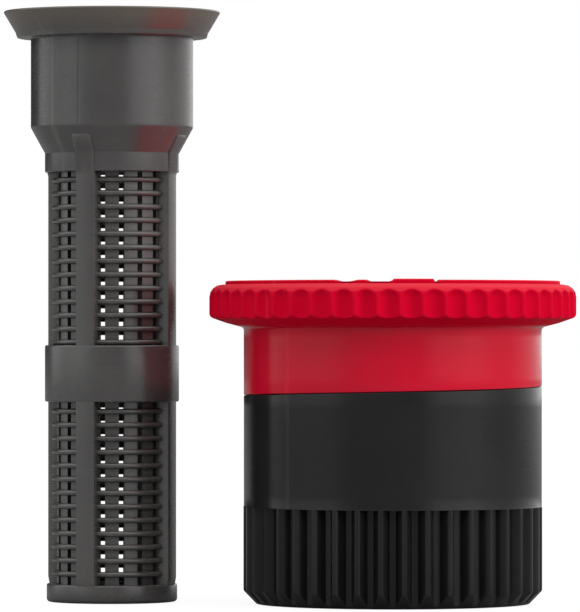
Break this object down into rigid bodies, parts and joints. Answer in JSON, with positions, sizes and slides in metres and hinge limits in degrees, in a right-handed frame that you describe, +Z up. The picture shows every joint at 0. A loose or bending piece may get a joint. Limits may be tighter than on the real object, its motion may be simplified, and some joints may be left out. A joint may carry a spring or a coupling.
{
  "type": "adjustable-arc spray nozzle with filter screen",
  "caption": "Red and black adjustable-arc spray nozzle for a pop-up sprinkler riser, with its grey tubular filter screen standing beside it.",
  "frame": {"origin": "on the nozzle axis, in the plane of the thread mouth that faces the riser", "axes": "+Z up along the nozzle axis towards the deflector cap, front towards -Y, filter towards -X"},
  "size_m": [0.0392, 0.025, 0.0405],
  "materials": {
    "black_plastic": "satin",
    "red_plastic": "satin gloss",
    "grey_plastic": "matte",
    "seal_rubber": "matte",
    "screw_steel": "brushed"
  },
  "bodies": {
    "nozzle": {"nozzle_body": "black_plastic", "deflector_cap": "red_plastic", "screw_seal": "seal_rubber"},
    "seal_ring": {"collar_seal": "seal_rubber"},
    "collar": {"arc_collar": "red_plastic"},
    "screw": {"radius_screw": "screw_steel", "screw_clip": "screw_steel"},
    "throttle": {"throttle_plug": "black_plastic"},
    "filter": {"filter_screen": "grey_plastic"}
  },
  "joints": [
    {"name": "collar_rise", "type": "slide", "parent": "nozzle", "child": "seal_ring", "axis": [0, 0, 1], "range_m": [-0.00031, 0.00093]},
    {"name": "arc_adjust", "type": "hinge", "parent": "seal_ring", "child": "collar", "pos_m": [0, 0, 0.0185], "axis": [0, 0, 1], "range_deg": [-88.2, 268.2]},
    {"name": "radius_adjust", "type": "hinge", "parent": "nozzle", "child": "screw", "pos_m": [0, 0, 0.0215], "axis": [0, 0, 1], "range_deg": [-1440, 0]},
    {"name": "throttle_rise", "type": "slide", "parent": "nozzle", "child": "throttle", "axis": [0, 0, 1], "range_m": [0, 0.002]},
    {"name": "filter_lift", "type": "slide", "parent": "nozzle", "child": "filter", "axis": [0, 0, 1], "range_m": [0, 0.045]}
  ],
  "couplings": [
    {"joint": "arc_adjust", "follows": "collar_rise", "rad_per_m": 5026.5},
    {"joint": "radius_adjust", "follows": "throttle_rise", "rad_per_m": -12566}
  ]
}
